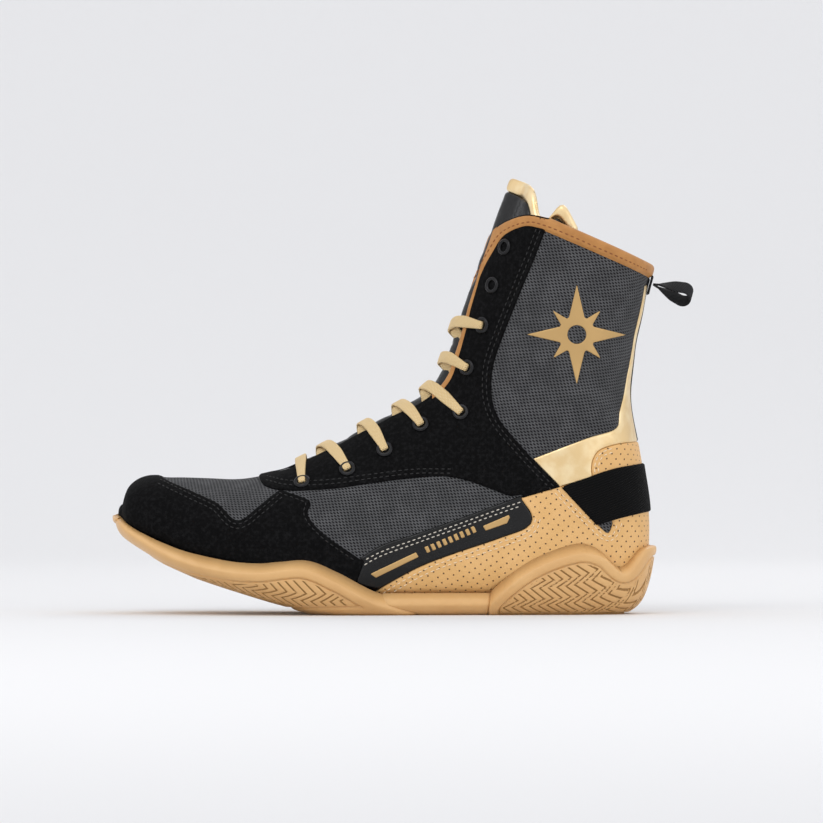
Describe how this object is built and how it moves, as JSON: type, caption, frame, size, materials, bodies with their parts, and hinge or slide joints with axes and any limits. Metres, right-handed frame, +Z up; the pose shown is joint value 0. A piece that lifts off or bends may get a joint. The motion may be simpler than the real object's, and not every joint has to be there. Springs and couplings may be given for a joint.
{
  "type": "boxing boot",
  "caption": "Tall lace-up boxing boot with a thin wrapped rubber sole, a mesh and suede upper, a long tongue, an ankle strap and a pull loop.",
  "frame": {"origin": "on the ground plane, at mid-length under the flat of the sole, in the plane that the heel, shaft and loop are centred on", "axes": "+Z up, +X from the toe towards the heel, +Y from the outer (lateral) side towards the inner side"},
  "size_m": [0.3127, 0.1071, 0.237],
  "materials": {
    "gum_rubber": "matt gum rubber",
    "midsole_foam": "foam with a skin",
    "shank_plastic": "matt",
    "board_fabric": "felt",
    "insole_foam": "knit over foam",
    "lining_fabric": "knit",
    "stiffener_plastic": "matt",
    "padding_foam": "knit over foam",
    "grey_mesh": "air mesh",
    "black_suede": "fine nap, pin-holed",
    "gloss_black": "gloss film",
    "tan_leather": "smooth, perforated",
    "gold_leather": "metallic",
    "gold_film": "metallic film",
    "black_webbing": "woven",
    "black_elastic": "fine ribs",
    "orange_binding": "smooth",
    "tongue_black": "soft gloss, creased",
    "black_metal": "black enamel",
    "lace_gold": "flat weave with metallic threads",
    "aglet_film": "clear film"
  },
  "bodies": {
    "boot": {"outsole_forefoot": "gum_rubber", "outsole_waist": "gum_rubber", "outsole_heel": "gum_rubber", "midsole": "midsole_foam", "shank": "shank_plastic", "strobel_board": "board_fabric", "vamp_lining": "lining_fabric", "quarter_lining_lateral": "lining_fabric", "quarter_lining_medial": "lining_fabric", "toe_puff": "stiffener_plastic", "heel_counter": "stiffener_plastic", "eyelet_backing_lateral": "stiffener_plastic", "eyelet_backing_medial": "stiffener_plastic", "ankle_foam_lateral": "padding_foam", "ankle_foam_medial": "padding_foam", "vamp_mesh": "grey_mesh", "quarter_mesh_lateral": "grey_mesh", "quarter_mesh_medial": "grey_mesh", "shaft_mesh_lateral": "grey_mesh", "shaft_mesh_medial": "grey_mesh", "toe_cap": "black_suede", "eyestay_lateral": "black_suede", "eyestay_medial": "black_suede", "side_stripe_lateral": "gloss_black", "side_stripe_medial": "gloss_black", "heel_wrap": "tan_leather", "achilles_patch": "tan_leather", "ankle_band_lateral": "gold_leather", "ankle_band_medial": "gold_leather", "emblem_lateral": "gold_film", "emblem_medial": "gold_film", "stripe_bars_lateral": "gold_film", "stripe_bars_medial": "gold_film", "back_strip": "black_webbing", "loop_tab": "black_webbing", "heel_strap": "black_elastic", "collar_binding": "orange_binding", "throat_edging_lateral": "orange_binding", "throat_edging_medial": "orange_binding", "tongue_lower": "tongue_black", "tongue_pad_lower": "padding_foam", "eyelets_lateral": "black_metal", "eyelets_medial": "black_metal", "eyelet_washers_lateral": "black_metal", "eyelet_washers_medial": "black_metal", "lace": "lace_gold", "aglet_lateral": "aglet_film", "aglet_medial": "aglet_film"},
    "tongue": {"tongue_upper": "tongue_black", "tongue_trim": "gold_leather", "tongue_pad_upper": "padding_foam"},
    "pull_loop": {"pull_loop": "black_webbing"},
    "insole": {"insole": "insole_foam"}
  },
  "joints": [
    {"name": "tongue_tilt", "type": "hinge", "parent": "boot", "child": "tongue", "pos_m": [0.043, 0, 0.168], "axis": [0, 1, 0], "range_deg": [0, 18], "stiffness_Nm_per_rad": 0.4},
    {"name": "loop_flip", "type": "hinge", "parent": "boot", "child": "pull_loop", "pos_m": [0.144, 0, 0.1785], "axis": [0, 1, 0], "range_deg": [-70, 55], "stiffness_Nm_per_rad": 0.01},
    {"name": "insole_lift", "type": "hinge", "parent": "boot", "child": "insole", "pos_m": [-0.122, 0, 0.044], "axis": [0, 1, 0], "range_deg": [-1, 0]}
  ]
}
